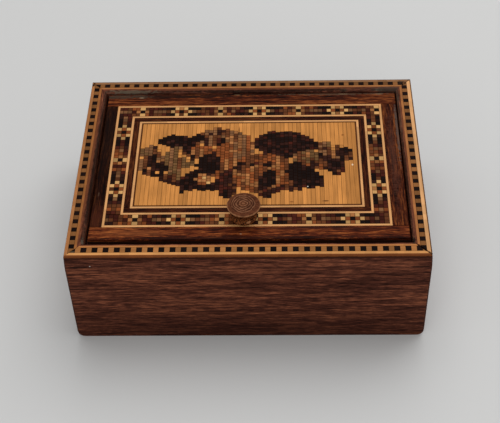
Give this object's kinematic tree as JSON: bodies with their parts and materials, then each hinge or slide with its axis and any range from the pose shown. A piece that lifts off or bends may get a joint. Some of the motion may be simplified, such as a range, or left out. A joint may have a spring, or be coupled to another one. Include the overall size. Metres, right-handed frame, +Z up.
{
  "type": "tunbridge ware trinket box",
  "caption": "Small rectangular rosewood box with a recessed lift-off lid of wood mosaic, light stringing, dotted edge banding and a turned knob.",
  "frame": {"origin": "centre of the underside, which rests flat", "axes": "+X to the right along the long side, +Y from the front, where the knob is, to the back, +Z up"},
  "size_m": [0.108, 0.08, 0.0415],
  "materials": {
    "rosewood": "worn satin polish over straight dark streaked grain",
    "dark_rosewood": "worn satin polish",
    "turned_rosewood": "end grain with turned rings, worn matt polish",
    "stringing": "light boxwood, toned by old polish",
    "edge_banding": "light lines with a row of dark squares between them",
    "border_mosaic": "small wood tesserae, flush and polished",
    "picture_mosaic": "small wood tesserae on a light slip ground, flush and polished",
    "carcass_wood": "bare planed wood, darkened by age"
  },
  "bodies": {
    "root": {"base_board": "carcass_wood", "front_board": "rosewood", "back_board": "rosewood", "left_end_board": "rosewood", "right_end_board": "rosewood", "front_edge_banding": "edge_banding", "back_edge_banding": "edge_banding", "left_edge_banding": "edge_banding", "right_edge_banding": "edge_banding", "lid_board": "carcass_wood", "lid_border_front": "rosewood", "lid_border_back": "rosewood", "lid_border_left": "rosewood", "lid_border_right": "rosewood", "outer_stringing_front": "stringing", "outer_stringing_back": "stringing", "outer_stringing_left": "stringing", "outer_stringing_right": "stringing", "mosaic_band_front": "border_mosaic", "mosaic_band_back": "border_mosaic", "mosaic_band_left": "border_mosaic", "mosaic_band_right": "border_mosaic", "middle_stringing_front": "stringing", "middle_stringing_back": "stringing", "middle_stringing_left": "stringing", "middle_stringing_right": "stringing", "dark_strip_front": "dark_rosewood", "dark_strip_back": "dark_rosewood", "dark_strip_left": "dark_rosewood", "dark_strip_right": "dark_rosewood", "inner_stringing_front": "stringing", "inner_stringing_back": "stringing", "inner_stringing_left": "stringing", "inner_stringing_right": "stringing", "mosaic_picture": "picture_mosaic", "knob": "turned_rosewood"}
  },
  "joints": []
}
